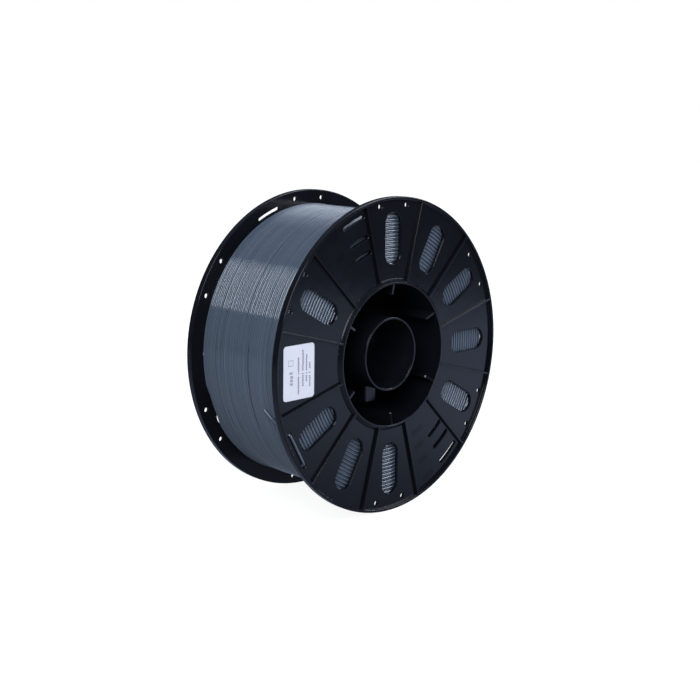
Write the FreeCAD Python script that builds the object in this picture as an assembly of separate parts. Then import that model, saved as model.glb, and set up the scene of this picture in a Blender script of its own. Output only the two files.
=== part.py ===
import FreeCAD, Part
import math
import os
from FreeCAD import Vector

# Large filament spool: two identical snap-together halves, a coil of filament,
# the coil's two strand ends and a paper label.
# Millimetres. +Z up, the spool's axis along Y, origin at the centre of the
# spool. The labelled front flange faces -Y.
# Angles are degrees clockwise from the top, seen from the front.
# A "depth" is measured along +Y from the front flange's lip face.

# Overall
FLANGE_R = 125.0
SPOOL_W = 105.0              # lip face to lip face
SPLIT_GAP = 0.2              # between the two halves
FRONT_Y = -SPOOL_W / 2       # front lip face
MATE_Y = -SPLIT_GAP / 2      # front half's split face
AXIS = Vector(0, 1, 0)
ORIGIN = Vector(0, 0, 0)
FLIP_ANGLE = 60.0            # a half turn about this radius maps front half to rear
TOLERANCE = 1e-6             # for picking edges and joining points
OVERLAP = 0.4                # how far added parts sink into the body along Y
CUT_MARGIN = 1.0             # how far cutters pass the faces they open

# Flange disc
LIP_W = 2.2                  # radial width of the raised outer lip
LIP_RI = FLANGE_R - LIP_W
PANEL_RECESS = 2.7           # depth of the panel's outer face
PANEL_Y = FRONT_Y + PANEL_RECESS
FLANGE_T = 5.5               # lip face to the flange's inner face
RIB_W = 1.9
RIB_Y = FRONT_Y + 0.4        # top faces of the ribs
RIB_FILLET = 0.45
RIB_FIRST = 15.0
RIB_COUNT = 12

# Hub
DRUM_RI = 56.1
DRUM_RO = 58.7
COLLAR_TOP_R = 57.5          # flat top of the raised collar
COLLAR_SHOULDER_R = 59.6
COLLAR_SHOULDER_DEPTH = 1.75
COLLAR_BASE_R = 60.1
TUBE_RI = 27.5               # spindle bore
TUBE_RO = 29.3
TUBE_RECESS = 3.7            # depth of the tube's end
WEB_T = 2.2                  # web at the split plane
WEB_Y = MATE_Y - WEB_T       # web's outer face

# Gussets inside the drum
GUSSET_COUNT = 6
GUSSET_T = 1.7
GUSSET_R = 47.0              # inner end
GUSSET_TOP_OUT = 1.3         # depth of the top at the drum
GUSSET_TOP_IN = 2.8          # depth of the top at the inner end

# Stop boss beside the tube, and notches in the tube's split end
BOSS_W = 12.2
BOSS_R = 42.4
BOSS_Y = FRONT_Y + 25.0      # top face
BOSS_CHAMFER = 0.9
BOSS_ANGLE = 180.0
NOTCH_ANGLES = (28.5, 91.5)
NOTCH_W = 5.6
NOTCH_D = 3.5

# Hole in the drum for the filament's inner end
START_HOLE_R = 2.0
START_HOLE_LEN = 8.0
START_HOLE_DEPTH = 14.0
START_HOLE_ANGLE = 265.0

# Windows, slots and holes in the flange
WINDOW_ANGLES = (0.0, 30.0, 60.0, 90.0, 120.0, 180.0, 210.0, 240.0, 300.0)
WINDOW_RC = 92.2             # centre radius
WINDOW_L = 41.2
WINDOW_W = 17.4
WINDOW_EASE = 0.5            # chamfer on the outer edge
SLOTS = ((115.9, 3.1), (99.7, 3.5), (86.9, 3.5))    # centre radius, width
SLOT_SPANS = ((331.5, 343.5), (136.5, 148.5))       # start and end angles
SLOT_EASE = 0.35
EASE_RUNOUT = 0.2            # part of the chamfer carried on outside the panel
PARK_HOLE_R = 2.05           # small holes that park the free end
PARK_HOLE_EASE = 0.45
PARK_HOLE_RC = 118.5
PARK_HOLE_SPREAD = 7.33      # angle from a pair's middle to each hole
PARK_PAIR_COUNT = 6

# Snap hooks, and the windows that take the other half's hooks
HOOK_ANGLES = (84.0, 204.0, 324.0)
HOOK_W = 9.0
HOOK_RI = 40.6
HOOK_RO = 43.0
HOOK_CATCH_R = 44.3
HOOK_LEN = 6.2
SNAP_WINDOW_ANGLES = sorted((2 * FLIP_ANGLE - angle) % 360 for angle in HOOK_ANGLES)
SNAP_WINDOW_RI = 38.6
SNAP_WINDOW_RO = 43.5
SNAP_WINDOW_W = 10.0

# Filament
STRAND_R = 0.875
COIL_RI = 59.0
COIL_RO = 113.0
COIL_Y0 = FRONT_Y + FLANGE_T
COIL_Y1 = SPOOL_W / 2 - FLANGE_T - 0.35
COIL_FILLET = 0.8
TAIL_ANGLE = 240.0           # middle of the pair of park holes in use
TAIL_REST_R = COIL_RO + STRAND_R + 0.06             # strand lying on the coil
TAIL_FLAT_DEPTH = PANEL_RECESS - STRAND_R - 0.075   # strand lying on the panel

# Free end leaving the coil: radius beyond TAIL_REST_R, angle, depth
TAIL_RISE = (
    (0.0, 253.6, 30.8),
    (0.05, 251.6, 26.8),
    (0.5, 249.9, 22.6),
    (1.9, 248.7, 15.5),
    (3.6, 248.1, 9.4),
)
# Bend through a park hole: distance from the hole towards the other one, depth
TAIL_BEND = (
    (-0.5, 5.3),
    (0.1, 3.5),
    (0.85, 2.45),
    (1.8, TAIL_FLAT_DEPTH + 0.15),
    (2.8, TAIL_FLAT_DEPTH),
)
# Inner end: radius, depth beyond the hole's centre
START_PATH = (
    (COIL_RI - 0.1, 0.0),
    (DRUM_RI - 0.2, 0.05),
    (DRUM_RI - 2.8, 0.9),
    (DRUM_RI - 4.2, 3.4),
    (DRUM_RI - 4.4, 8.0),
    (DRUM_RI - 3.8, 14.0),
)

# Label
LABEL_ANGLE = 270.0
LABEL_RC = 100.2
LABEL_W = 30.9               # radial
LABEL_H = 40.9               # tangential
LABEL_T = 0.15
LABEL_CORNER = 2.6

# Half's section: radius, depth, corner fillet
MATE_DEPTH = MATE_Y - FRONT_Y
WEB_DEPTH = MATE_DEPTH - WEB_T
HALF_SECTION = (
    (FLANGE_R, 0.0, 0.7),
    (FLANGE_R, FLANGE_T, 0.6),
    (DRUM_RO, FLANGE_T, 0.0),
    (DRUM_RO, MATE_DEPTH, 0.0),
    (TUBE_RI, MATE_DEPTH, 0.0),
    (TUBE_RI, TUBE_RECESS, 0.5),
    (TUBE_RO, TUBE_RECESS, 0.5),
    (TUBE_RO, WEB_DEPTH, 0.0),
    (DRUM_RI, WEB_DEPTH, 0.0),
    (DRUM_RI, 0.0, 0.4),
    (COLLAR_TOP_R, 0.0, 0.4),
    (COLLAR_SHOULDER_R, COLLAR_SHOULDER_DEPTH, 0.6),
    (COLLAR_BASE_R, PANEL_RECESS, 0.4),
    (LIP_RI, PANEL_RECESS, 0.4),
    (LIP_RI, 0.0, 0.5),
)


# --- Helpers ---------------------------------------------------------------

def at(radius, angle, y):
    a = math.radians(angle)
    return Vector(radius * math.sin(a), y, radius * math.cos(a))


def turned(shape, angle):
    copy = shape.copy()
    copy.rotate(ORIGIN, AXIS, angle)
    return copy


def turned_all(shape, angles):
    return [turned(shape, angle) for angle in angles]


def evenly(count, first=0.0):
    """Angles of count equal steps around the axis."""
    return [first + 360.0 / count * i for i in range(count)]


def flipped(shape):
    """Front half's part moved to its place on the rear half."""
    copy = shape.copy()
    copy.rotate(ORIGIN, at(1, FLIP_ANGLE, 0), 180)
    return copy


def radial_box(r0, r1, width, y0, y1):
    """Box from radius r0 to r1 at angle 0."""
    return Part.makeBox(width, y1 - y0, r1 - r0, Vector(-width / 2, y0, r0))


def radial_plate(points, thickness):
    """Plate at angle 0 with an outline of (radius, y) points."""
    outline = [Vector(0, y, radius) for radius, y in points]
    face = Part.Face(Part.makePolygon(outline + [outline[0]]))
    plate = face.extrude(Vector(thickness, 0, 0))
    plate.translate(Vector(-thickness / 2, 0, 0))
    return plate


def edges_at_y(shape, y):
    return [e for e in shape.Edges
            if abs(e.BoundBox.YMin - y) < TOLERANCE
            and abs(e.BoundBox.YMax - y) < TOLERANCE]


def rounded_section(rows):
    """Closed face in the XY plane from (radius, depth, fillet) rows."""
    corners = [Vector(radius, FRONT_Y + depth, 0) for radius, depth, _ in rows]
    count = len(rows)
    starts, middles, ends = [], [], []
    for i in range(count):
        corner = corners[i]
        fillet = rows[i][2]
        if fillet <= 0:
            starts.append(corner)
            middles.append(None)
            ends.append(corner)
            continue
        back = corners[i - 1] - corner
        ahead = corners[(i + 1) % count] - corner
        back.normalize()
        ahead.normalize()
        half_angle = back.getAngle(ahead) / 2
        setback = fillet / math.tan(half_angle)
        bisector = back + ahead
        bisector.normalize()
        centre = corner + bisector * (fillet / math.sin(half_angle))
        starts.append(corner + back * setback)
        middles.append(centre - bisector * fillet)
        ends.append(corner + ahead * setback)
    edges = []
    for i in range(count):
        if middles[i] is not None:
            edges.append(Part.Arc(starts[i], middles[i], ends[i]).toShape())
        following = starts[(i + 1) % count]
        if ends[i].distanceToPoint(following) > TOLERANCE:
            edges.append(Part.makeLine(ends[i], following))
    return Part.Face(Part.Wire(edges))


def strand(points):
    """Round strand swept along a smooth curve through the points."""
    curve = Part.BSplineCurve()
    curve.interpolate(points)
    tangent = curve.tangent(curve.FirstParameter)[0]
    pipe = Part.BRepOffsetAPI.MakePipeShell(Part.Wire([curve.toShape()]))
    pipe.setFrenetMode(False)
    pipe.add(Part.Wire([Part.makeCircle(STRAND_R, points[0], tangent)]))
    pipe.build()
    pipe.makeSolid()
    return pipe.shape()


# --- Flange openings -------------------------------------------------------

def window_wire(grow, y):
    """Stadium outline at angle 0, long side along the radius."""
    half = WINDOW_W / 2 + grow
    straight = (WINDOW_L - WINDOW_W) / 2
    z0 = WINDOW_RC - straight
    z1 = WINDOW_RC + straight
    p1 = Vector(-half, y, z0)
    p2 = Vector(-half, y, z1)
    p3 = Vector(half, y, z1)
    p4 = Vector(half, y, z0)
    return Part.Wire([
        Part.makeLine(p1, p2),
        Part.Arc(p2, Vector(0, y, z1 + half), p3).toShape(),
        Part.makeLine(p3, p4),
        Part.Arc(p4, Vector(0, y, z0 - half), p1).toShape(),
    ])


def slot_wire(radius, width, start, end, grow, y):
    """Curved slot with round ends; start and end are the angles of its tips."""
    half = width / 2 + grow
    inset = math.degrees(width / 2 / radius)
    a0 = start + inset
    a1 = end - inset
    middle = (start + end) / 2
    outer, inner = radius + half, radius - half

    def tip(angle, sign):
        return at(radius, angle, y) + at(half * sign, angle + 90, 0)

    return Part.Wire([
        Part.Arc(at(outer, a0, y), at(outer, middle, y), at(outer, a1, y)).toShape(),
        Part.Arc(at(outer, a1, y), tip(a1, 1), at(inner, a1, y)).toShape(),
        Part.Arc(at(inner, a1, y), at(inner, middle, y), at(inner, a0, y)).toShape(),
        Part.Arc(at(inner, a0, y), tip(a0, -1), at(outer, a0, y)).toShape(),
    ])


def eased_cutter(make_wire, ease):
    """Straight cutter through the flange that chamfers the outer edge.

    make_wire(grow, y) gives the outline at y, grown by that much.
    """
    y0 = PANEL_Y - 0.5
    y1 = FRONT_Y + FLANGE_T + CUT_MARGIN
    body = Part.Face(make_wire(0.0, y0)).extrude(Vector(0, y1 - y0, 0))
    runout = ease * EASE_RUNOUT
    chamfer = Part.makeLoft([make_wire(ease + runout, PANEL_Y - runout),
                             make_wire(0.0, PANEL_Y + ease)], True)
    return body.fuse(chamfer)


def slot_cutters():
    cutters = []
    for start, end in SLOT_SPANS:
        for radius, width in SLOTS:
            def wire(grow, y):
                return slot_wire(radius, width, start, end, grow, y)
            cutters.append(eased_cutter(wire, SLOT_EASE))
    return cutters


def park_hole_cutters():
    cutters = []
    for angle in evenly(PARK_PAIR_COUNT):
        for sign in (-1, 1):
            centre = at(PARK_HOLE_RC, angle + sign * PARK_HOLE_SPREAD, FRONT_Y)
            hole = Part.makeCylinder(PARK_HOLE_R, FLANGE_T + 2 * CUT_MARGIN,
                                     centre - AXIS * CUT_MARGIN, AXIS)
            chamfer = Part.makeCone(PARK_HOLE_R + PARK_HOLE_EASE, PARK_HOLE_R, PARK_HOLE_EASE,
                                    centre + AXIS * PANEL_RECESS, AXIS)
            cutters.append(hole.fuse(chamfer))
    return cutters


# --- Spool half ------------------------------------------------------------

def make_rib():
    """Radial rib on the outer face, from collar to lip."""
    rib = radial_box(COLLAR_TOP_R + 0.8, LIP_RI + 0.6, RIB_W, RIB_Y, PANEL_Y + OVERLAP)
    long_edges = [e for e in edges_at_y(rib, RIB_Y) if e.BoundBox.ZLength > 10]
    return rib.makeFillet(RIB_FILLET, long_edges)


def make_gusset():
    top_out = FRONT_Y + GUSSET_TOP_OUT
    top_in = FRONT_Y + GUSSET_TOP_IN
    foot = WEB_Y + OVERLAP
    return radial_plate([
        (DRUM_RI + 0.6, top_out),
        (DRUM_RI - 0.6, top_out),
        (GUSSET_R + 0.8, top_in),
        (GUSSET_R, top_in + 1.0),
        (GUSSET_R + 1.6, foot),
        (DRUM_RI + 0.6, foot),
    ], GUSSET_T)


def make_boss():
    """Rectangular boss on the web; its top edge against the tube stays sharp."""
    boss = radial_box(TUBE_RO - 0.5, BOSS_R, BOSS_W, BOSS_Y, WEB_Y + OVERLAP)
    free_edges = [e for e in edges_at_y(boss, BOSS_Y) if e.BoundBox.ZMax > TUBE_RO + 1]
    return turned(boss.makeChamfer(BOSS_CHAMFER, free_edges), BOSS_ANGLE)


def half_cutters():
    window = eased_cutter(window_wire, WINDOW_EASE)
    snap_window = radial_box(SNAP_WINDOW_RI, SNAP_WINDOW_RO, SNAP_WINDOW_W,
                             WEB_Y - 2, MATE_Y + CUT_MARGIN)
    notch = radial_box(TUBE_RI - 2, TUBE_RO + 1.4, NOTCH_W,
                       MATE_Y - NOTCH_D, MATE_Y + CUT_MARGIN)
    start_hole = Part.makeCylinder(
        START_HOLE_R, START_HOLE_LEN,
        at(DRUM_RI - 3, START_HOLE_ANGLE, FRONT_Y + START_HOLE_DEPTH),
        at(1, START_HOLE_ANGLE, 0))
    return (turned_all(window, WINDOW_ANGLES)
            + slot_cutters()
            + park_hole_cutters()
            + turned_all(snap_window, SNAP_WINDOW_ANGLES)
            + turned_all(notch, NOTCH_ANGLES)
            + [start_hole])


def make_half():
    body = rounded_section(HALF_SECTION).revolve(ORIGIN, AXIS, 360)
    ribs = turned_all(make_rib(), evenly(RIB_COUNT, RIB_FIRST))
    gussets = turned_all(make_gusset(), evenly(GUSSET_COUNT))
    body = body.fuse(ribs + gussets + [make_boss()])
    body = body.removeSplitter()
    for cutter in half_cutters():
        body = body.cut(cutter)
    body = body.removeSplitter()
    return max(body.Solids, key=lambda solid: solid.Volume)


def make_hooks():
    """Three snap hooks that stand on the web's split face."""
    catch_y = SPLIT_GAP / 2 + WEB_T + 0.2    # just past the other half's web
    tip_y = MATE_Y + HOOK_LEN
    hook = radial_plate([
        (HOOK_RI, MATE_Y),
        (HOOK_RO, MATE_Y),
        (HOOK_RO, catch_y),
        (HOOK_CATCH_R, catch_y),
        (HOOK_CATCH_R, catch_y + 0.7),
        (HOOK_RO - 0.4, tip_y),
        (HOOK_RI + 0.3, tip_y),
    ], HOOK_W)
    return Part.makeCompound(turned_all(hook, HOOK_ANGLES))


# --- Filament and label ----------------------------------------------------

def make_coil():
    length = COIL_Y1 - COIL_Y0
    outer = Part.makeCylinder(COIL_RO, length, Vector(0, COIL_Y0, 0), AXIS)
    rims = [e for e in outer.Edges if e.BoundBox.YLength < TOLERANCE]
    outer = outer.makeFillet(COIL_FILLET, rims)
    bore = Part.makeCylinder(COIL_RI, length + 2 * CUT_MARGIN,
                             Vector(0, COIL_Y0 - CUT_MARGIN, 0), AXIS)
    return outer.cut(bore)


def make_free_end():
    """Leaves the coil, goes out through one park hole, lies along the outer
    face and goes back in through the other."""
    exit_angle = TAIL_ANGLE + PARK_HOLE_SPREAD
    return_angle = TAIL_ANGLE - PARK_HOLE_SPREAD
    exit_hole = at(PARK_HOLE_RC, exit_angle, FRONT_Y)
    return_hole = at(PARK_HOLE_RC, return_angle, FRONT_Y)
    run = return_hole - exit_hole
    middle = exit_hole + run * 0.5
    run.normalize()

    points = [at(TAIL_REST_R + rise, angle, FRONT_Y + depth)
              for rise, angle, depth in TAIL_RISE]
    points += [exit_hole + run * along + AXIS * depth for along, depth in TAIL_BEND]
    points.append(middle + AXIS * TAIL_FLAT_DEPTH)
    points += [return_hole - run * along + AXIS * depth
               for along, depth in reversed(TAIL_BEND)]
    points.append(return_hole + run * 0.9 + at(0.2, return_angle, 8.2))
    return strand(points)


def make_start_end():
    """Through the hole in the drum wall, then bent along the axis."""
    hole_y = FRONT_Y + START_HOLE_DEPTH
    return strand([at(radius, START_HOLE_ANGLE, hole_y + beyond)
                   for radius, beyond in START_PATH])


def make_label():
    """Rounded rectangle on the front panel's outer face."""
    plate = radial_box(LABEL_RC - LABEL_W / 2, LABEL_RC + LABEL_W / 2, LABEL_H,
                       PANEL_Y - LABEL_T, PANEL_Y)
    corners = [e for e in plate.Edges if abs(e.BoundBox.YLength - LABEL_T) < TOLERANCE]
    return turned(plate.makeFillet(LABEL_CORNER, corners), LABEL_ANGLE)


os.makedirs("parts", exist_ok=True)
front_half = make_half()
front_hooks = make_hooks()
pieces = {
    "front_half": front_half,
    "rear_half": flipped(front_half),
    "front_snap_hooks": front_hooks,
    "rear_snap_hooks": flipped(front_hooks),
    "filament_coil": make_coil(),
    "filament_free_end": make_free_end(),
    "filament_start_end": make_start_end(),
    "paper_label": make_label(),
}
for name, shape in pieces.items():
    shape.exportStep("parts/%s.step" % name)
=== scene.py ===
"""A black spool of blue-grey filament, standing on a pale floor.

The spool's axis lies along Y with the front flange towards -Y, and Z is up.
Angles run clockwise from the top, seen from the front. Lengths are in metres.
"""
import bpy
import math
import numpy as np
from mathutils import Matrix, Vector


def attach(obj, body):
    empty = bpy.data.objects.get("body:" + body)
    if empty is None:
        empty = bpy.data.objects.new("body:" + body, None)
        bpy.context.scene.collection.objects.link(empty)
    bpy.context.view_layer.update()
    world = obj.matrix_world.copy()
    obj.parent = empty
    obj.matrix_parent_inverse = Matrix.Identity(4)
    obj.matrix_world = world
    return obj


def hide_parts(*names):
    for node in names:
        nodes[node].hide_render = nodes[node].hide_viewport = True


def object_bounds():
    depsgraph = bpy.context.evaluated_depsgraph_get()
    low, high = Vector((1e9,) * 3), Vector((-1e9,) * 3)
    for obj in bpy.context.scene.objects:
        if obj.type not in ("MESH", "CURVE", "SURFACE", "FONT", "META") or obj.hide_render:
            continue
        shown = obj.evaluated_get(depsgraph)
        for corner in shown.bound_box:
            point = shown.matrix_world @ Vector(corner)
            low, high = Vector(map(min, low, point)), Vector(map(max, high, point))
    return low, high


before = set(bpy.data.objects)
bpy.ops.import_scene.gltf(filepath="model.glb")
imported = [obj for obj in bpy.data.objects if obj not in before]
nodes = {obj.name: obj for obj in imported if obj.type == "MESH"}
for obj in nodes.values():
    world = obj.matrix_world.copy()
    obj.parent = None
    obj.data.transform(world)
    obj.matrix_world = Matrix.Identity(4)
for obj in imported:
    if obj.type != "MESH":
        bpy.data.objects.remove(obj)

cad_lo, cad_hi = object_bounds()

FRONT_BODY = "front_half_and_coil"
TAU = 2 * math.pi
UV_PER_METRE = 100


# ---------------------------------------------------------------------------
# Mesh helpers
# ---------------------------------------------------------------------------
def coordinates(name):
    """Vertex positions of a CAD piece, one row each."""
    verts = nodes[name].data.vertices
    flat = np.zeros(len(verts) * 3, np.float32)
    verts.foreach_get("co", flat)
    return flat.reshape(-1, 3)


def triangles(quads):
    """Split quads; a quad that repeats its last corner gives one triangle."""
    tri = np.vstack([quads[:, [0, 1, 2]], quads[:, [0, 2, 3]]])
    keep = (tri[:, 0] != tri[:, 1]) & (tri[:, 1] != tri[:, 2]) & (tri[:, 0] != tri[:, 2])
    return tri[keep]


def new_mesh(name, verts, quads, material, smooth=True, uv=None):
    verts = np.asarray(verts, np.float32)
    faces = triangles(np.asarray(quads, np.int32))
    mesh = bpy.data.meshes.new(name)
    mesh.vertices.add(len(verts))
    mesh.vertices.foreach_set("co", verts.ravel())
    mesh.loops.add(faces.size)
    mesh.loops.foreach_set("vertex_index", faces.ravel())
    mesh.polygons.add(len(faces))
    mesh.polygons.foreach_set("loop_start", np.arange(0, faces.size, 3, dtype=np.int32))
    mesh.polygons.foreach_set("loop_total", np.full(len(faces), 3, np.int32))
    mesh.update(calc_edges=True)
    mesh.polygons.foreach_set("use_smooth", np.full(len(faces), smooth))
    if uv is not None:
        layer = mesh.uv_layers.new(name="strand")
        layer.data.foreach_set("uv", np.asarray(uv, np.float32)[faces.ravel()].ravel())
    mesh.validate()
    ob = bpy.data.objects.new(name, mesh)
    bpy.context.scene.collection.objects.link(ob)
    mesh.materials.append(material)
    return ob


def on_spool(radius, angle, y):
    return np.stack([radius * np.sin(angle), y, radius * np.cos(angle)], -1)


def unit(vectors):
    return vectors / np.linalg.norm(vectors, axis=1)[:, None]


def tube(path, radius, sides, closed, side_phase=0.0):
    """Round tube along a path; returns verts, quads and UVs (run, part of the way round)."""
    count = len(path)
    if closed:
        tangent = unit(np.roll(path, -1, 0) - np.roll(path, 1, 0))
    else:
        tangent = unit(np.gradient(path, axis=0))
    radial = unit(path * np.array([1, 0, 1]))
    outward = unit(radial - (radial * tangent).sum(1)[:, None] * tangent)
    sideways = np.cross(tangent, outward)
    around = np.arange(sides) / sides * TAU + side_phase
    ring = (np.cos(around)[None, :, None] * outward[:, None, :]
            + np.sin(around)[None, :, None] * sideways[:, None, :])
    verts = (path[:, None, :] + radius * ring).reshape(-1, 3)

    run = np.concatenate([[0], np.cumsum(np.linalg.norm(np.diff(path, axis=0), axis=1))])
    run *= UV_PER_METRE
    uv = np.stack([np.repeat(run, sides), np.tile(np.arange(sides) / sides, count)], -1)

    i = np.arange(count if closed else count - 1)[:, None]
    i_next = (i + 1) % count
    j = np.arange(sides)
    j_next = (j + 1) % sides
    quads = np.stack([i * sides + j, i * sides + j_next,
                      i_next * sides + j_next, i_next * sides + j], -1).reshape(-1, 4)
    if not closed:
        centre = len(verts)
        last = (count - 1) * sides
        verts = np.vstack([verts, path[0], path[-1]])
        uv = np.vstack([uv, [0, 0.5], [run[-1], 0.5]])
        start_cap = np.stack([np.full(sides, centre), j_next, j, j], -1)
        end_cap = np.stack([np.full(sides, centre + 1), last + j, last + j_next, last + j_next], -1)
        quads = np.vstack([quads, start_cap, end_cap])
    return verts, quads, uv


def joined(parts):
    verts, quads, uvs = zip(*parts)
    starts = np.cumsum([0] + [len(part) for part in verts[:-1]])
    shifted = [part + start for part, start in zip(quads, starts)]
    return np.vstack(verts), np.vstack(shifted), np.vstack(uvs)


# ---------------------------------------------------------------------------
# Repeatable irregularity
# ---------------------------------------------------------------------------
def scatter(value):
    """Fixed pseudo-random number from 0 to 1."""
    large = np.sin(value) * 43758.5453
    return large - np.floor(large)


def wander(phase, seed, amount, terms=((1, 1.0), (2, 0.7), (3, 0.5), (5, 0.3))):
    """Smooth periodic wobble; terms are (waves per turn, weight)."""
    total = np.zeros_like(phase)
    for waves, weight in terms:
        shift = scatter(seed * 12.9898 + waves * 78.233) * TAU
        total += weight * np.sin(waves * phase + shift)
    return amount * total / 2.5


def clamp(value):
    return np.clip(value, 0, 1)


def smoothstep(x):
    return x * x * (3 - 2 * x)


# ---------------------------------------------------------------------------
# Node helpers
# ---------------------------------------------------------------------------
def add(tree, kind, inputs=None, **settings):
    """New node; inputs maps a socket's name or index to a value or a source socket."""
    node = tree.nodes.new(kind)
    for name, value in settings.items():
        setattr(node, name, value)
    for key, value in (inputs or {}).items():
        if isinstance(value, bpy.types.NodeSocket):
            tree.links.new(value, node.inputs[key])
        else:
            node.inputs[key].default_value = value
    return node


def blank_tree(owner):
    owner.use_nodes = True
    owner.node_tree.nodes.clear()
    return owner.node_tree


def new_material(name):
    material = bpy.data.materials.new(name)
    return material, blank_tree(material)


def finish_surface(tree, inputs):
    surface = add(tree, "ShaderNodeBsdfPrincipled", inputs)
    add(tree, "ShaderNodeOutputMaterial", {0: surface.outputs[0]})


def object_coords(tree):
    return add(tree, "ShaderNodeTexCoord").outputs["Object"]


def noise(tree, vector, scale, detail, roughness):
    return add(tree, "ShaderNodeTexNoise", {
        "Vector": vector, "Scale": scale, "Detail": detail, "Roughness": roughness}).outputs[0]


def stretched(tree, vector, scale):
    return add(tree, "ShaderNodeMapping", {"Vector": vector, "Scale": scale}).outputs[0]


def remap(tree, source, span, to=(0, 1)):
    """Map the span linearly to another range, clamped."""
    return add(tree, "ShaderNodeMapRange", {
        "Value": source, "From Min": span[0], "From Max": span[1],
        "To Min": to[0], "To Max": to[1]}).outputs["Result"]


def colour_mix(tree, factor, first, second):
    return add(tree, "ShaderNodeMix", {0: factor, 6: (*first, 1), 7: (*second, 1)},
               data_type="RGBA").outputs[2]


def bump(tree, height, strength, distance, **normal):
    return add(tree, "ShaderNodeBump", {
        "Height": height, "Strength": strength, "Distance": distance, **normal}).outputs[0]


def math_node(tree, operation, *values):
    return add(tree, "ShaderNodeMath", dict(enumerate(values)), operation=operation).outputs[0]


def mix_shader(tree, factor, first, second):
    return add(tree, "ShaderNodeMixShader", {
        0: factor, 1: first.outputs[0], 2: second.outputs[0]})


# ---------------------------------------------------------------------------
# Materials
# ---------------------------------------------------------------------------
def spool_plastic():
    """Injection-moulded semi-gloss black with a faint blue cast and fine dust."""
    material, tree = new_material("moulded_black")
    coords = object_coords(tree)
    patches = noise(tree, coords, scale=14.0, detail=3.0, roughness=0.5)
    grain = noise(tree, coords, scale=2600.0, detail=2.0, roughness=0.6)
    flow = noise(tree, coords, scale=55.0, detail=2.0, roughness=0.4)
    dust = noise(tree, coords, scale=900.0, detail=1.0, roughness=0.5)
    black = colour_mix(tree, remap(tree, patches, span=(0.35, 0.65)),
                       first=(0.0026, 0.0031, 0.0044), second=(0.0040, 0.0047, 0.0066))
    specks = colour_mix(tree, remap(tree, dust, span=(0.76, 0.80), to=(0, 0.5)),
                        first=(0, 0, 0), second=(0.012, 0.013, 0.015))
    dusty = add(tree, "ShaderNodeMix", {0: 1.0, 6: black, 7: specks},
                data_type="RGBA", blend_type="ADD")
    roughness = math_node(tree, "ADD",
                          remap(tree, patches, span=(0.3, 0.7), to=(0.12, 0.17)),
                          remap(tree, grain, span=(0.3, 0.7), to=(-0.02, 0.03)))
    fine = bump(tree, grain, strength=0.06, distance=0.0002)
    finish_surface(tree, {
        "Base Color": dusty.outputs[2],
        "Roughness": roughness,
        "Specular IOR Level": 0.19,
        "IOR": 1.52,
        "Normal": bump(tree, flow, strength=0.03, distance=0.004, Normal=fine)})
    return material


GLOSS_PERIOD = 0.00333     # spacing along Y of the glossier bands


def filament_plastic(name, dark, light, drift, per_metre, roughness, gloss=None):
    """Glossy strand with faint draw lines and a tone that changes between turns.

    The tone noise has scale per_metre along Y and drift across it; gloss is the
    range of specular level, if it varies along Y.
    """
    material, tree = new_material(name)
    strand_uv = add(tree, "ShaderNodeUVMap", uv_map="strand").outputs[0]
    draw_lines = noise(tree, stretched(tree, strand_uv, scale=(0.12, 9.0, 1.0)),
                       scale=1.0, detail=2.0, roughness=0.5)
    coords = object_coords(tree)
    tone = noise(tree, stretched(tree, coords, scale=(drift, per_metre, drift)),
                 scale=1.0, detail=1.0, roughness=0.5)
    inputs = {
        "Base Color": colour_mix(tree, remap(tree, tone, span=(0.3, 0.7)), dark, light),
        "Roughness": remap(tree, tone, span=(0.3, 0.7), to=roughness),
        "IOR": 1.50,
        "Subsurface Weight": 0.06,
        "Subsurface Radius": (0.0008, 0.0009, 0.0011),
        "Normal": bump(tree, draw_lines, strength=0.12, distance=0.00015)}
    if gloss:
        y = add(tree, "ShaderNodeSeparateXYZ", {0: coords}).outputs["Y"]
        phase = math_node(tree, "MULTIPLY_ADD", y, TAU / GLOSS_PERIOD,
                          remap(tree, tone, span=(0.3, 0.7), to=(-0.45, 0.45)))
        wave = math_node(tree, "SINE", phase)
        inputs["Specular IOR Level"] = remap(tree, wave, span=(-0.9, 0.9), to=gloss)
    finish_surface(tree, inputs)
    return material


PAPER_TONE = 0.55


def paper():
    """Slightly blue white paper with fine fibres."""
    material, tree = new_material("label_white")
    coords = object_coords(tree)
    fibres = noise(tree, coords, scale=3200.0, detail=4.0, roughness=0.7)
    tone = noise(tree, coords, scale=60.0, detail=2.0, roughness=0.5)
    white = colour_mix(tree, remap(tree, tone, span=(0.35, 0.65)),
                       first=(PAPER_TONE * 0.97, PAPER_TONE * 0.99, PAPER_TONE * 1.13),
                       second=(PAPER_TONE, PAPER_TONE * 1.02, PAPER_TONE * 1.16))
    finish_surface(tree, {
        "Base Color": white,
        "Roughness": remap(tree, fibres, span=(0.3, 0.7), to=(0.42, 0.58)),
        "Normal": bump(tree, fibres, strength=0.15, distance=0.0001)})
    return material


def ink(name, dark, light):
    material, tree = new_material(name)
    mottle = noise(tree, object_coords(tree), scale=5200.0, detail=2.0, roughness=0.6)
    colour = colour_mix(tree, remap(tree, mottle, span=(0.35, 0.7)), dark, light)
    finish_surface(tree, {"Base Color": colour, "Roughness": 0.5})
    return material


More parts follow.
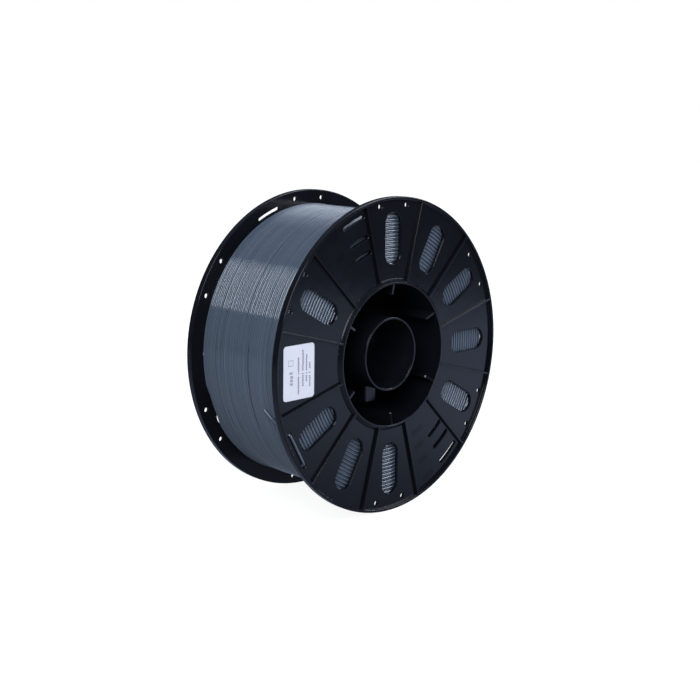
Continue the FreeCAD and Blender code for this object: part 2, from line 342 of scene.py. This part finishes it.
MAT_PLASTIC = spool_plastic()
MAT_FILAMENT = filament_plastic(
    "filament_blue_grey", dark=(0.052, 0.067, 0.093), light=(0.061, 0.078, 0.107),
    drift=14.0, per_metre=560.0, roughness=(0.05, 0.09))
MAT_TURNS = filament_plastic(
    "filament_outer_turns", dark=(0.049, 0.0635, 0.086), light=(0.062, 0.0800, 0.106),
    drift=4.0, per_metre=330.0, roughness=(0.08, 0.06), gloss=(0.30, 0.76))
MAT_PAPER = paper()
MAT_INK = ink("label_ink", dark=(0.05, 0.052, 0.065), light=(0.16, 0.165, 0.20))
MAT_INK_LIGHT = ink("label_ink_light", dark=(0.20, 0.205, 0.24), light=(0.32, 0.33, 0.385))

CAD_MATERIALS = {
    "front_half": MAT_PLASTIC,
    "rear_half": MAT_PLASTIC,
    "front_snap_hooks": MAT_PLASTIC,
    "rear_snap_hooks": MAT_PLASTIC,
    "paper_label": MAT_PAPER,
    "filament_free_end": MAT_FILAMENT,
    "filament_start_end": MAT_FILAMENT,
}
for piece, material in CAD_MATERIALS.items():
    nodes[piece].data.materials.clear()
    nodes[piece].data.materials.append(material)

# ---------------------------------------------------------------------------
# Filament coil: outer layer, inner layer, rings on both sides and a core
# ---------------------------------------------------------------------------
coil = coordinates("filament_coil").astype(float)
coil_radii = np.hypot(coil[:, 0], coil[:, 2])

STRAND = 0.000875             # radius of the strand
MARGIN = 0.00003
REAR_EXTRA = 0.00030          # the turns reach this far behind the CAD coil
R_TOP = float(coil_radii.max()) - STRAND - MARGIN
R_BOTTOM = float(coil_radii.min()) + STRAND + MARGIN
Y_FRONT = float(coil[:, 1].min()) + STRAND + MARGIN
Y_REAR = float(coil[:, 1].max()) + REAR_EXTRA - STRAND
PITCHES = 48
TURNS = PITCHES + 2           # one turn lies against each flange
PITCH = (Y_REAR - Y_FRONT) / PITCHES
LAYERS = 37
LAYER = (R_TOP - R_BOTTOM) / (LAYERS - 1)
START_ANGLE = math.radians(200.0)
OUTER_SECTIONS = (0, 17, 34, TURNS)      # turns where the outer layer is split into objects

LOOSE_TURNS = (5, 10, 15, 19, 25, 30, 36, 41, 45)
# (turn relative to the loose one, share of the gap it moves by)
LOOSE_SHARES = ((-1, -0.5), (0, -1.0), (1, 1.0), (2, 0.5))
# Short gaps: distance behind the CAD front, start and end in degrees, half-width
PARTINGS = ((0.045, 240, 280, 0.00058), (0.077, 239, 251, 0.00045), (0.070, 236, 262, 0.00030))
SINK_DEPTH = 0.00145
FLANGE_RISE = 0.0004
CORE_INSET_R = 0.0006
CORE_INSET_Y = 0.0011


def turn_jitter(index, part, stride):
    """Each turn's own offset from -1 to 1, eased into the next turn's."""
    here, following = (scatter((i + 11.3) * 12.9898 * stride) * 2 - 1 for i in (index, index + 1))
    ease = smoothstep(part)
    return here * (1 - ease) + following * ease


def window(degrees, start, end):
    """1 between two angles, with five-degree ramps inside them."""
    return clamp((degrees - start) / 5) * clamp((end - degrees) / 5)


def loose_shift(index, part, angle):
    """Y offset where the winding is loose all the way round."""
    shift = np.zeros(TURNS + 3)
    for i, turn in enumerate(LOOSE_TURNS):
        gap = 0.00014 + 0.00007 * math.sin(i * 2.1)
        for step, share in LOOSE_SHARES:
            shift[turn + step] += gap * share
    late = smoothstep(clamp((part - 0.88) / 0.12))
    whole = index.astype(int)
    eased = shift[whole] * (1 - late) + shift[whole + 1] * late
    return eased * (1 + 0.4 * np.sin(angle + index))


def parting_shift(index, degrees):
    """Y offset where neighbouring turns stand apart and leave a dark line."""
    total = np.zeros_like(degrees)
    for depth, start, end, half_width in PARTINGS:
        turn = round((depth + cad_lo.y - Y_FRONT) / PITCH + 1)
        for step in range(-3, 5):
            side = 1 if step > 0 else -1
            push = side * half_width * (1 - (abs(step - 0.5) - 0.5) / 4)
            total += np.where(index == turn + step, push * window(degrees, start, end), 0)
    return total


def helix(turns, radius, steps_per_turn, sides, seed, wander_y, wander_r, loose=False):
    """Strand wound from the front flange to the rear, over a (first, last) range of turns."""
    first, last = turns
    count = int(round((last - first) * steps_per_turn)) + 1
    phi = np.linspace(first, last, count) * TAU
    turn = phi / TAU
    angle = START_ANGLE + phi
    index = np.floor(turn)
    part = turn - index
    y = (Y_FRONT + PITCH * np.clip(turn - 1, 0, PITCHES)
         + wander_y * turn_jitter(index, part, 1.0) + wander(angle, seed, wander_y * 0.5))
    path_radius = (radius + wander_r * (turn_jitter(index, part, 1.7) - 1) * 0.5
                   + wander(angle, seed + 3, wander_r * 0.4) - wander_r * 0.4)
    if loose:
        degrees = np.degrees(angle) % 360
        y += loose_shift(index, part, angle) + parting_shift(index, degrees)
        # the last turn sinks where it crosses to the rear flange
        path_radius -= SINK_DEPTH * window(degrees, 238, 257) * clamp(turn - (TURNS - 2))
        # the two turns against the flanges ride up a little
        path_radius += FLANGE_RISE * (clamp(1.5 - turn) + clamp(turn - (TURNS - 1.5)))
    y = np.clip(y, Y_FRONT, Y_REAR)
    return tube(on_spool(path_radius, angle, y), STRAND, sides, closed=False)


def side_rings(flange_y, inward, slow_seed, fine_seed):
    """One closed ring per layer next to a flange; inward is the Y sign into the coil."""
    parts = []
    steps = 240
    angle = np.arange(steps) / steps * TAU
    for k in range(1, LAYERS - 1):
        nested = PITCH / 2 if k % 2 else 0.0
        slow = wander(angle, k * 0.37 + slow_seed, 0.00016, ((1, 1.0), (2, 0.8)))
        fine = wander(angle, k * 1.91 + fine_seed, 0.00005, ((3, 1.0), (7, 0.5), (11, 0.3)))
        depth = np.maximum(nested + 0.00016 + slow + fine, 0)
        radius = R_BOTTOM + k * LAYER + wander(angle, k * 2.3 + 5, 0.00005)
        path = on_spool(radius, angle, flange_y + inward * depth)
        parts.append(tube(path, STRAND, 8, closed=True, side_phase=math.pi / 8))
    return joined(parts)


def core():
    """Plain ring that fills the coil behind the strands."""
    steps = 180
    i = np.arange(steps)
    i_next = (i + 1) % steps
    angle = i / steps * TAU
    outer, inner = R_TOP - CORE_INSET_R, R_BOTTOM + CORE_INSET_R
    front, rear = Y_FRONT + CORE_INSET_Y, Y_REAR - CORE_INSET_Y
    profile = ((inner, front), (outer, front), (outer, rear), (inner, rear))
    verts = np.concatenate([on_spool(radius, angle, np.full(steps, y)) for radius, y in profile])
    quads = []
    for a in range(4):
        b = (a + 1) % 4
        quads.append(np.stack([a * steps + i, a * steps + i_next,
                               b * steps + i_next, b * steps + i], -1))
    return verts, np.vstack(quads), np.zeros((len(verts), 2))


def coil_mesh(name, shape, material=MAT_FILAMENT, smooth=True):
    verts, quads, uv = shape
    return new_mesh(name, verts, quads, material, smooth, uv)


coil_parts = []
for number, section in enumerate(zip(OUTER_SECTIONS, OUTER_SECTIONS[1:]), 1):
    shape = helix(section, R_TOP, steps_per_turn=288, sides=10, seed=1,
                  wander_y=0.00006, wander_r=0.00007, loose=True)
    coil_parts.append(coil_mesh("coil_outer_layer_%d" % number, shape, MAT_TURNS))
coil_parts += [
    coil_mesh("coil_inner_layer", helix((0, TURNS), R_BOTTOM, steps_per_turn=150, sides=8,
                                        seed=5, wander_y=0.00004, wander_r=0.0)),
    coil_mesh("coil_front_side_layers",
              side_rings(Y_FRONT, inward=1, slow_seed=0, fine_seed=7)),
    coil_mesh("coil_rear_side_layers",
              side_rings(Y_REAR, inward=-1, slow_seed=50, fine_seed=61)),
    coil_mesh("coil_core", core(), smooth=False),
]
for ob in coil_parts:
    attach(ob, FRONT_BODY)
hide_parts("filament_coil")

# ---------------------------------------------------------------------------
# Generic print on the label and raised numerals beside the gauge slots
# ---------------------------------------------------------------------------
label = coordinates("paper_label")
label_lo, label_hi = label.min(0), label.max(0)

INK_SINK, INK_RISE = 0.00004, 0.00002        # behind and in front of the label's face
NUMERAL_SINK, NUMERAL_RISE = 0.0003, 0.00014  # behind and in front of the label's back
NUMERAL_HEIGHT = 0.0034

# Print is placed by distance left of the axis, and by the part of the way down
# the label. Rows: near side, far side, (top, bottom) of each word.
DASH_STEP = 0.030
PRINT_ROWS = (
    (0.0999, 0.1016, ((0.235, 0.495), (0.52, 0.54), (0.585, 0.905))),
    (0.0955, 0.0972, ((0.105, 0.490), (0.53, 0.55), (0.570, 0.795))),
    (0.0919, 0.0935, ((0.200, 0.500), (0.53, 0.55), (0.585, 0.695))),
    (0.0885, 0.0901, ((0.355, 0.485), (0.53, 0.55), (0.595, 0.805))),
)
# The four bars of the box above the title: near, far, top, bottom
TITLE_BOX = (
    (0.1060, 0.1064, 0.262, 0.372),
    (0.1106, 0.1110, 0.262, 0.372),
    (0.1060, 0.1110, 0.262, 0.274),
    (0.1060, 0.1110, 0.360, 0.372),
)
# Seven-bar digits: a top, b and c right, d bottom, e and f left, g middle
DIGIT_BARS = {"0": "abcdef", "1": "bc", "2": "abged", "5": "afgcd", "7": "abc"}
# Text, distance from the axis, angle in degrees
NUMERALS = (
    ("750", 0.1150, 325.5), ("500", 0.1000, 324.0), ("250", 0.0735, 322.5),
    ("2000", 0.1160, 156.5), ("1500", 0.1000, 156.0), ("1000", 0.0865, 156.0),
    ("0500", 0.0735, 154.5),
)


def boxes(name, outlines, y0, y1, material, slot):
    """Thin blocks from y0 to y1; each outline is four (x, z) corners."""
    verts, quads = [], []
    for outline in outlines:
        first = len(verts)
        verts += [(x, y, z) for y in (y0, y1) for x, z in outline]
        quads += [[first + i for i in face] for face in (
            (0, 1, 2, 3), (7, 6, 5, 4), (0, 4, 5, 1), (1, 5, 6, 2), (2, 6, 7, 3), (3, 7, 4, 0))]
    ob = new_mesh(name, verts, quads, material, smooth=False)
    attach(ob, FRONT_BODY)


def label_quad(near, far, top, bottom):
    height = label_hi[2] - label_lo[2]
    z_top, z_bottom = label_hi[2] - top * height, label_hi[2] - bottom * height
    return [(-near, z_top), (-far, z_top), (-far, z_bottom), (-near, z_bottom)]


def dashes(near, far, top, bottom, step, seed):
    """A run of short uneven blocks down the label."""
    quads, start = [], top
    while start < bottom - step * 0.5:
        chance = float(scatter((len(quads) + seed * 7.3) * 12.9898))
        trim = (far - near) * 0.34 * chance
        end = min(start + step * (0.56 + 0.24 * chance), bottom)
        if chance < 0.5:
            quads.append(label_quad(near + trim, far, start, end))
        else:
            quads.append(label_quad(near, far - trim * 0.8, start, end))
        start += step
    return quads


def digits(text, radius, degrees, height):
    """Bar outlines of a number, upright along the radius and centred on its place."""
    width, bar, gap = height * 0.52, height * 0.14, height * 0.42
    middle = height / 2
    # left, right, bottom, top of each bar
    bars = {"a": (0, width, height - bar, height),
            "b": (width - bar, width, middle, height),
            "c": (width - bar, width, 0, middle),
            "d": (0, width, 0, bar),
            "e": (0, bar, 0, middle),
            "f": (0, bar, middle, height),
            "g": (0, width, middle - bar / 2, middle + bar / 2)}
    total = len(text) * width + (len(text) - 1) * gap
    cos, sin = math.cos(math.radians(degrees)), math.sin(math.radians(degrees))
    outlines = []
    for i, digit in enumerate(text):
        across = i * (width + gap) - total / 2
        out = radius - middle
        for letter in DIGIT_BARS[digit]:
            left, right, low, high = bars[letter]
            corners = ((left, low), (right, low), (right, high), (left, high))
            outlines.append([((x + across) * cos + (y + out) * sin,
                              (y + out) * cos - (x + across) * sin) for x, y in corners])
    return outlines


rows = []
for near, far, words in PRINT_ROWS:
    for i, (top, bottom) in enumerate(words):
        rows += dashes(near, far, top, bottom, DASH_STEP, seed=near * 1000 + i)
title = dashes(0.1062, 0.1098, 0.480, 0.735, step=0.066, seed=3)
title += [label_quad(*bar) for bar in TITLE_BOX]
ink_span = (label_lo[1] - INK_RISE, label_lo[1] + INK_SINK)
boxes("label_rows", rows, *ink_span, MAT_INK, "label_paper")
boxes("label_title_blocks", title, *ink_span, MAT_INK_LIGHT, "label_paper")

marks = []
for text, radius, degrees in NUMERALS:
    marks += digits(text, radius, degrees, NUMERAL_HEIGHT)
boxes("gauge_numerals", marks, label_hi[1] - NUMERAL_RISE, label_hi[1] + NUMERAL_SINK,
      MAT_PLASTIC, "spool_plastic")


# ---------------------------------------------------------------------------
# Floor
# ---------------------------------------------------------------------------
def grey(value):
    return (value,) * 3


def cool(value):
    """Blue tint of everything mirrored in the spool."""
    return (value * 0.80, value * 0.95, value * 1.38)


# Brightness by distance from the spool's foot: (distance, value). The floor glows as painted light.
# The lower values close to the foot are painted shade of the spool, and the drops past about a
# metre are the painted edge of a table in the bounced light and in the reflections.
FLOOR_RADIUS = 6.0
FLOOR_SEEN = ((0.0, 0.92), (0.25, 0.93), (0.6, 1.0), (FLOOR_RADIUS, 1.0))
FLOOR_BOUNCE = ((0.0, 0.52), (0.12, 0.62), (0.30, 0.95), (1.08, 0.95), (1.20, 0.20),
                (FLOOR_RADIUS, 0.15))
FLOOR_MIRROR = ((0.0, 0.38), (0.12, 0.60), (0.28, 1.08), (0.92, 1.08), (1.08, 0.72),
                (1.16, 0.15), (FLOOR_RADIUS, 0.10))


def glow(tree, distance, stops, tint=grey, **strength):
    """Emission that follows the (distance, value) stops."""
    reach = stops[-1][0]
    part = remap(tree, distance, span=(0.0, reach))
    curve = add(tree, "ShaderNodeValToRGB", {0: part})
    elements = curve.color_ramp.elements
    elements.remove(elements[-1])
    for i, (stop, value) in enumerate(stops):
        element = elements.new(stop / reach) if i else elements[0]
        element.color = (*tint(value), 1)
    return add(tree, "ShaderNodeEmission", {"Color": curve.outputs[0], **strength})


def floor_material():
    """Separate brightness for the camera, for bounced light and for reflections."""
    material, tree = new_material("pale_floor")
    coords = object_coords(tree)
    distance = add(tree, "ShaderNodeVectorMath", {0: coords}, operation="LENGTH").outputs["Value"]
    # seen directly: white, with painted shade slightly darker close to the spool
    diffuse = add(tree, "ShaderNodeBsdfDiffuse", {"Color": (*grey(0.16), 1)})
    plain = glow(tree, distance, FLOOR_SEEN)
    seen = add(tree, "ShaderNodeAddShader", {0: diffuse.outputs[0], 1: plain.outputs[0]})
    bounce = glow(tree, distance, FLOOR_BOUNCE)
    # the reflected floor is dimmer on the left
    x = add(tree, "ShaderNodeSeparateXYZ", {0: coords}).outputs["X"]
    mirror = glow(tree, distance, FLOOR_MIRROR, cool)
    side = remap(tree, x, span=(-0.35, 0.30), to=(0.30, 1.0))
    tree.links.new(side, mirror.inputs["Strength"])
    rays = add(tree, "ShaderNodeLightPath").outputs
    direct = mix_shader(tree, rays["Is Camera Ray"], bounce, seen)
    surface = mix_shader(tree, rays["Is Glossy Ray"], direct, mirror)
    add(tree, "ShaderNodeOutputMaterial", {0: surface.outputs[0]})
    return material


def stage_floor():
    count = 48
    i = np.arange(count)
    i_next = (i + 1) % count
    angle = i / count * TAU
    rim = FLOOR_RADIUS * np.stack([np.cos(angle), np.sin(angle), 0 * angle], -1)
    quads = np.stack([0 * i, 1 + i, 1 + i_next, 1 + i_next], -1)
    ob = new_mesh("stage_floor", np.vstack([[0, 0, 0], rim]), quads, floor_material(),
                  smooth=False)
    ob.location = (0, 0, cad_lo.z)


stage_floor()


# ---------------------------------------------------------------------------
# World: white to the camera, dim and brighter overhead to everything else
# ---------------------------------------------------------------------------
def room(tree, height, span, low, high):
    """Background that goes from low to high as rays point further up."""
    colour = colour_mix(tree, remap(tree, height, span), low, high)
    return add(tree, "ShaderNodeBackground", {"Color": colour, "Strength": 1.0})


def studio_world():
    world = bpy.data.worlds.new("studio")
    bpy.context.scene.world = world
    tree = blank_tree(world)
    white = add(tree, "ShaderNodeBackground", {"Color": (1, 1, 1, 1), "Strength": 1.0})
    incoming = add(tree, "ShaderNodeNewGeometry").outputs["Incoming"]
    z = add(tree, "ShaderNodeSeparateXYZ", {0: incoming}).outputs["Z"]
    height = math_node(tree, "MULTIPLY", z, -1.0)
    ambient = room(tree, height, span=(0.0, 0.9), low=grey(0.18), high=grey(0.35))
    mirrored = room(tree, height, span=(0.5, 1.0), low=cool(0.09), high=cool(0.55))
    rays = add(tree, "ShaderNodeLightPath").outputs
    indirect = mix_shader(tree, rays["Is Glossy Ray"], ambient, mirrored)
    surface = mix_shader(tree, rays["Is Camera Ray"], indirect, white)
    add(tree, "ShaderNodeOutputWorld", {0: surface.outputs[0]})


studio_world()

# ---------------------------------------------------------------------------
# Lights
# ---------------------------------------------------------------------------
LIGHT_COLOUR = (0.93, 1.0, 1.10)


def area_light(name, location, width, height, radiance, rotation=None):
    """Rectangular light, turned to the origin unless a rotation is given."""
    light = bpy.data.lights.new(name, "AREA")
    light.shape = "RECTANGLE"
    light.size, light.size_y = width, height
    light.energy = radiance * math.pi * height * width
    light.color = LIGHT_COLOUR
    ob = bpy.data.objects.new(name, light)
    bpy.context.scene.collection.objects.link(ob)
    ob.location = location
    ob.rotation_mode = "QUATERNION"
    ob.rotation_quaternion = rotation or (-Vector(location)).to_track_quat("-Z", "Y")


def key_light(low, high, y0, y1, radiance):
    """Softbox facing the spool; low and high are the (x, z) of its long edges along Y."""
    rise = Vector((high[0] - low[0], 0, high[1] - low[1]))
    up = rise.normalized()
    back = up.cross(Vector((0, 1, 0)))
    axes = Matrix((up.cross(back), up, back)).transposed()
    centre = ((low[0] + high[0]) / 2, (y0 + y1) / 2, (low[1] + high[1]) / 2)
    area_light("key_left", centre, width=y1 - y0,
               height=math.hypot(high[0] - low[0], high[1] - low[1]),
               radiance=radiance, rotation=axes.to_quaternion())


key_light(low=(-1.10, 0.48), high=(-0.60, 1.04), y0=-1.20, y1=-0.25, radiance=10.0)
area_light("top", (0.75, 0.25, 1.18), width=1.2, height=1.0, radiance=3.4)
area_light("front_right", (1.30, -1.10, 0.72), width=0.8, height=0.7, radiance=10.6)

# ---------------------------------------------------------------------------
# Camera, in front of the spool and to its left
# ---------------------------------------------------------------------------
CAMERA_PLACE = (-0.716663, -0.70775, 0.19856)
# columns are the camera's right, up and backward directions
CAMERA_AXES = (
    (0.74897369, 0.05529705, -0.6602883),
    (-0.66257704, 0.07075141, -0.74564463),
    (0.00548438, 0.99596008, 0.0896295),
)


def place_camera():
    camera = bpy.data.cameras.new("camera")
    camera.lens = 63.98663
    camera.shift_x, camera.shift_y = 0.1209316, -0.1959228
    camera.sensor_width = 36.0
    camera.clip_start, camera.clip_end = 0.05, 50
    ob = bpy.data.objects.new("camera", camera)
    scene = bpy.context.scene
    scene.collection.objects.link(ob)
    ob.matrix_world = Matrix.Translation(Vector(CAMERA_PLACE)) @ Matrix(CAMERA_AXES).to_4x4()
    scene.camera = ob
    scene.view_settings.view_transform = "Standard"
    scene.view_settings.look = "None"


place_camera()
